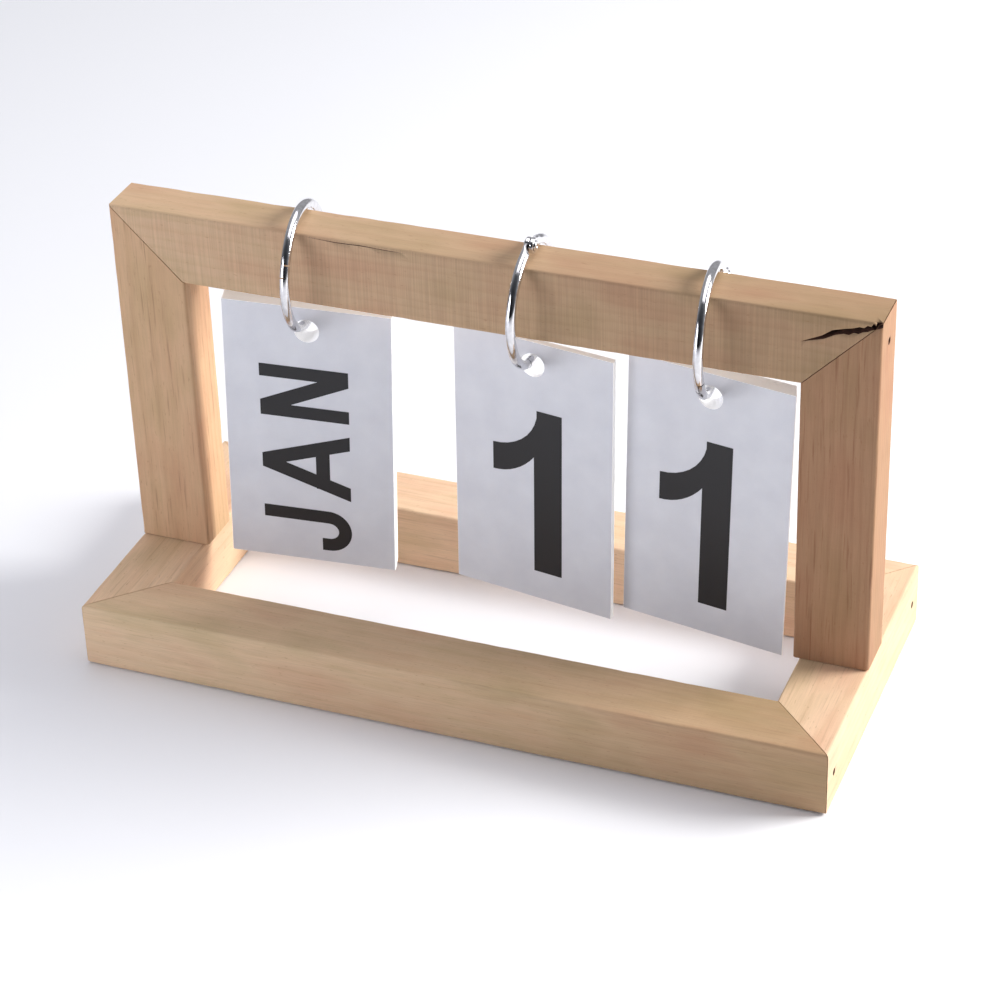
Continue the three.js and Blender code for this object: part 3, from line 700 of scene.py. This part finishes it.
W = 0.157  # weight of a letter's stems
D = 0.164  # and of a digit's
bowl = [rect(0, 0.85, 0.3, 1), rect(0, 0.42, 0.3, 0.57), bend(0.3, 0.71, 0.27, 0.29, -90, 90)]
six = [*ring(0.27, 0.31, 0.27, 0.31, D), bend(0.27, 0.5, 0.27, 0.5, 50, 180, D), rect(0, 0.31, D, 0.5)]
stem = [(0.258, 1), (0.405, 1), (0.405, 0), (0.241, 0)]
GLYPHS = {
    "A": [slant(0, 0.33), slant(0.659, 0.33), rect(0.12, 0.233, 0.71, 0.39)],
    "B": [rect(0, 0, W, 1), *bowl, rect(0, 0, 0.3, 0.15), bend(0.3, 0.285, 0.31, 0.285, -90, 90)],
    "C": [bend(0.35, 0.5, 0.35, 0.5, 42, 318)],
    "D": [
        rect(0, 0, W, 1),
        rect(0, 0.852, 0.27, 1),
        rect(0, 0, 0.27, 0.148),
        bend(0.27, 0.5, 0.38, 0.5, -90, 90),
    ],
    "E": [rect(0, 0, W, 1), rect(0, 0.85, 0.53, 1), rect(0, 0.43, 0.48, 0.58), rect(0, 0, 0.55, 0.15)],
    "F": [rect(0, 0, W, 1), rect(0, 0.85, 0.52, 1), rect(0, 0.42, 0.46, 0.57)],
    "G": [bend(0.36, 0.5, 0.36, 0.5, 42, 330), rect(0.38, 0.38, 0.7, 0.52), rect(0.55, 0.1, 0.7, 0.5)],
    "J": [
        rect(0.36, 0.26, 0.517, 1),
        bend(0.2585, 0.26, 0.2585, 0.26, 180, 360),
        rect(0, 0.26, 0.158, 0.34),
    ],
    "L": [rect(0, 0, W, 1), rect(0, 0, 0.52, 0.15)],
    "M": [
        rect(0, 0, W, 1),
        rect(0.66, 0, 0.66 + W, 1),
        slant(0.315, 0, width=0.19),
        slant(0.315, 0.627, width=0.19),
    ],
    "N": [rect(0, 0, W, 1), rect(0.488, 0, 0.488 + W, 1), slant(0.455, 0, width=0.19)],
    "O": ring(0.36, 0.5, 0.36, 0.5),
    "P": [rect(0, 0, W, 1), *bowl],
    "R": [rect(0, 0, W, 1), *bowl, slant(0.43, 0.2, 0, 0.5, 0.185)],
    "S": [bend(0.29, 0.72, 0.28, 0.28, 25, 270), bend(0.29, 0.28, 0.3, 0.285, -158, 90)],
    "T": [rect(0, 0.85, 0.6, 1), rect(0.22, 0, 0.22 + W, 1)],
    "U": [rect(0, 0.3, W, 1), rect(0.45, 0.3, 0.45 + W, 1), bend(0.3035, 0.302, 0.3035, 0.302, 180, 360)],
    "V": [slant(0.27, 0), slant(0.27, 0.54)],
    "Y": [
        slant(0.27, 0, 0.38, 1, 0.19),
        slant(0.27, 0.54, 0.38, 1, 0.19),
        rect(0.287, 0, 0.287 + W, 0.45),
    ],
    "0": ring(0.27, 0.5, 0.27, 0.5, D),
    "1": [[*quarter(0.262, 0.255, 0.258), *stem, *quarter(0.33, 0.422, 0.241)[::-1]]],
    "2": [
        bend(0.27, 0.72, 0.27, 0.28, -30, 172, D),
        slant(0.0, 0.35, 0.12, 0.642, 0.18),
        rect(0, 0, 0.54, 0.155),
    ],
    "3": [bend(0.26, 0.73, 0.25, 0.27, -90, 168, D), bend(0.26, 0.29, 0.28, 0.29, -170, 90, D)],
    "4": [rect(0.32, 0, 0.32 + D, 1), rect(0, 0.2, 0.58, 0.35), slant(0, 0.3, 0.3, 1, 0.19)],
    "5": [
        rect(0.08, 0.85, 0.5, 1),
        slant(0.04, 0.08, 0.42, 1, 0.15),
        bend(0.26, 0.32, 0.28, 0.32, -165, 128, D),
    ],
    "6": six,
    "7": [rect(0, 0.85, 0.53, 1), slant(0.1, 0.35, 0, 0.9, 0.18)],
    "8": [*ring(0.27, 0.73, 0.245, 0.27, D), *ring(0.27, 0.285, 0.27, 0.285, D)],
    "9": flipped(six, 0.54),
}
LETTER_GAP = 0.165
INK_LIFT = 0.012 * MM  # the ink's underside above the card
INK_THICK = 0.025 * MM


def printed(name, text, cap_height, place):
    """text as one thin layer of ink, its overlapping strokes joined. place turns a point of the
    line of text, measured in mm from its middle, into the leaf's own coordinates."""
    shapes, x = [], 0.0
    for sign in text:
        width = max(px for shape in GLYPHS[sign] for px, _ in shape)
        shapes += [[(px + x, py) for px, py in shape] for shape in GLYPHS[sign]]
        x += width + LETTER_GAP
    length = x - LETTER_GAP
    points, faces = [], []
    for shape in shapes:
        turn = sum(a[0] * b[1] - b[0] * a[1] for a, b in zip(shape, shape[1:] + shape[:1]))
        shape = shape if turn > 0 else shape[::-1]
        faces.append(list(range(len(points), len(points) + len(shape))))
        points += [Vector(((px - length / 2) * cap_height, (py - 0.5) * cap_height)) for px, py in shape]
    flat, _, triangles, _, _, covers = delaunay_2d_cdt(points, [], faces, 0, 1e-4)
    inked = [t for t, cover in zip(triangles, covers) if cover]
    bm = bmesh.new()
    lower = [bm.verts.new(place(p.x, p.y, INK_LIFT)) for p in flat]
    for triangle in inked:
        bm.faces.new([lower[i] for i in triangle])
    bmesh.ops.delete(bm, geom=[v for v in bm.verts if not v.link_faces], context="VERTS")
    bmesh.ops.dissolve_limit(bm, angle_limit=0.01, verts=bm.verts, edges=bm.edges)
    made = bmesh.ops.extrude_face_region(bm, geom=bm.faces[:])
    lift = place(0, 0, INK_LIFT + INK_THICK) - place(0, 0, INK_LIFT)
    for part in made["geom"]:
        if isinstance(part, bmesh.types.BMVert):
            part.co += lift
    return mesh_object(name, bm, INK, angle=30)


# ---------------------------------------------------------------- the leaves

LEAF_EASE = 0.06 * MM
CUT = 64  # points round a punched hole


def leaf_facts(node):
    """A leaf's own frame, with its origin at the hole's centre, its width, height and thickness,
    how far its hole lies below its top edge, and the hole's radius, all from its CAD mesh."""
    points = np.unique(np.round([v.co for v in nodes[node].data.vertices], 7), axis=0)

    def pair(sx, sz):
        return points[np.argsort(-(sx * points[:, 0] + sz * points[:, 2]))[:2]]

    top_left, top_right, foot_left, foot_right = (pair(*s) for s in ((-1, 1), (1, 1), (-1, -1), (1, -1)))
    outline = np.concatenate([top_left, top_right, foot_left, foot_right])
    across = Vector(foot_right.mean(0) - foot_left.mean(0))
    up = Vector(top_left.mean(0) - foot_left.mean(0))
    width, height = across.length, up.length
    across.normalize()
    up.normalize()
    forward = across.cross(up)
    rims = [Vector(p) for p in points if np.abs(outline - p).sum(1).min() > 1e-7]
    hole = sum(rims, Vector()) / len(rims)
    thickness = max(p.dot(forward) for p in rims) - min(p.dot(forward) for p in rims)
    margin = (Vector(top_left.mean(0)) - hole).dot(up)
    radius = max((p - hole - forward * (p - hole).dot(forward)).length for p in rims)
    place = Matrix.Translation(hole) @ Matrix((across, -forward, up)).transposed().to_4x4()
    return place, width, height, thickness, margin, radius


def leaf(name, width, height, thickness, margin, radius):
    """A cut and punched leaf: its sheared edges are eased, and so are the hole's rims."""
    bm = bmesh.new()
    foot = margin - height
    middle = margin - height / 2
    corners = [(-width / 2, foot), (width / 2, foot), (width / 2, margin), (-width / 2, margin)]
    turns = [math.tau * i / CUT for i in range(CUT)]
    half = thickness / 2
    layers = []
    for y, ease in ((-half, LEAF_EASE), (-half + LEAF_EASE, 0), (half - LEAF_EASE, 0), (half, LEAF_EASE)):
        edge = []
        for x, z in corners:
            inset = (x - math.copysign(ease, x), y, z - math.copysign(ease, z - middle))
            edge.append(bm.verts.new(inset))
        r = radius + ease
        rim = [bm.verts.new((r * math.cos(t), y, r * math.sin(t))) for t in turns]
        layers.append((edge, rim))
    for (edge_a, rim_a), (edge_b, rim_b) in zip(layers, layers[1:]):
        for a, b in ((edge_a, edge_b), (rim_a, rim_b)):
            for i in range(len(a)):
                j = (i + 1) % len(a)
                bm.faces.new((a[i], a[j], b[j], b[i])).material_index = 1
    for edge, rim in (layers[0], layers[-1]):
        pairs = [pair for loop in (edge, rim) for pair in zip(loop, loop[1:] + loop[:1])]
        lines = [bm.edges.get(pair) for pair in pairs]
        bmesh.ops.triangle_fill(bm, use_beauty=True, use_dissolve=False, edges=lines)
    return mesh_object(name, bm, CARD, CUT_CARD_PAINTED_LIGHT, angle=30)


MONTHS = ["JAN", "FEB", "MAR", "APR", "MAY", "JUN", "JUL", "AUG", "SEP", "OCT", "NOV", "DEC"]
PRINTS = {"month": MONTHS, "tens": list("1230"), "ones": list("1234567890")}
# Middle of the print from the hole's centre, in mm, and its cap height.
PRINT_PLACE = {"month": (-1.2, -38.4, 23.6), "tens": (-1.65, -37.0, 48.1), "ones": (-3.2, -36.8, 48.1)}

for pack, texts in PRINTS.items():
    u, v, cap_height = PRINT_PLACE[pack]
    for number, text in enumerate(texts, 1):
        node = f"{pack}_leaf_{number:02d}"
        place, width, height, thickness, margin, radius = leaf_facts(node)
        piece = leaf(node + "_card", width, height, thickness, margin, radius)
        piece.matrix_world = place
        stands_for(piece, node, "card", node)

        def on_leaf(x, y, lift, face=-thickness / 2):
            # Months read upwards: the line of text is turned a quarter to the left.
            x, y = (-y, x) if pack == "month" else (x, y)
            return Vector(((u + x) * MM, face - lift, (v + y) * MM))

        layer = printed(f"{pack}_print_{number:02d}", text, cap_height, on_leaf)
        layer.matrix_world = place
        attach(layer, node)

# ---------------------------------------------------------------- floor, light and camera

FLOOR_SIZE = 6.0
bm = bmesh.new()
bmesh.ops.create_grid(bm, x_segments=2, y_segments=2, size=FLOOR_SIZE / 2)
floor_material, _, _ = material("white_table", Base_Color=linear("#f4f5f8"), Roughness=0.9)
floor = mesh_object("floor", bm, floor_material)
floor.location.z = -0.2 * MM


def lamp(name, place, aim, size, power, colour):
    """A square soft light at place, in metres, turned to aim."""
    light = bpy.data.lights.new(name, "AREA")
    light.size, light.energy, light.color = size, power, linear(colour)[:3]
    lamp_object = bpy.data.objects.new(name, light)
    bpy.context.scene.collection.objects.link(lamp_object)
    lamp_object.location = place
    lamp_object.rotation_euler = (Vector(aim) - Vector(place)).to_track_quat("-Z", "Y").to_euler()


lamp("key_from_the_right_rear", (0.80, 0.36, 0.46), (0, 0, 0.05), 0.4, 13.0, "#fffdfa")
lamp("top_softbox", (0.0, 0.25, 1.25), (0, 0, 0), 1.2, 7.0, "#f8f8ff")
lamp("fill_from_the_left", (-0.42, -0.54, 0.21), (-0.05, 0, 0.04), 0.4, 2.35, "#f4f6ff")

world = bpy.data.worlds.new("studio")
bpy.context.scene.world = world
world.use_nodes = True
# The room is darker in front of the table, which puts dark lines in the rings.
sky = world.node_tree
background = sky.nodes["Background"]
depth = add(sky, SPLIT, {0: add(sky, PLACE)["Generated"]})[1]
depth = add(sky, MATH, {0: depth, 1: 0.5}, operation="MULTIPLY")[0]
depth = add(sky, MATH, {0: depth, 1: 0.5}, operation="ADD")[0]
room = add(sky, RAMP, {0: depth}, [(0.0, "#202228"), (0.3, "#75787f"), (0.6, "#f4f5fb")])[0]
sky.links.new(room, background.inputs["Color"])
background.inputs["Strength"].default_value = 0.42
bpy.context.scene.view_settings.view_transform = "Standard"

CAMERA_PLACE = Vector((0.24801, -0.61500, 0.46610))
CAMERA_YAW, CAMERA_PITCH, CAMERA_ROLL = (math.radians(a) for a in (21.93, -32.47, 1.968))
camera = bpy.data.objects.new("camera", bpy.data.cameras.new("camera"))
bpy.context.scene.collection.objects.link(camera)
camera.data.lens = 110.89
camera.data.sensor_width = 36
level = Matrix.Rotation(CAMERA_YAW, 4, "Z") @ Matrix.Rotation(math.pi / 2 + CAMERA_PITCH, 4, "X")
camera.matrix_world = Matrix.Translation(CAMERA_PLACE) @ level @ Matrix.Rotation(-CAMERA_ROLL, 4, "Z")
bpy.context.scene.camera = camera
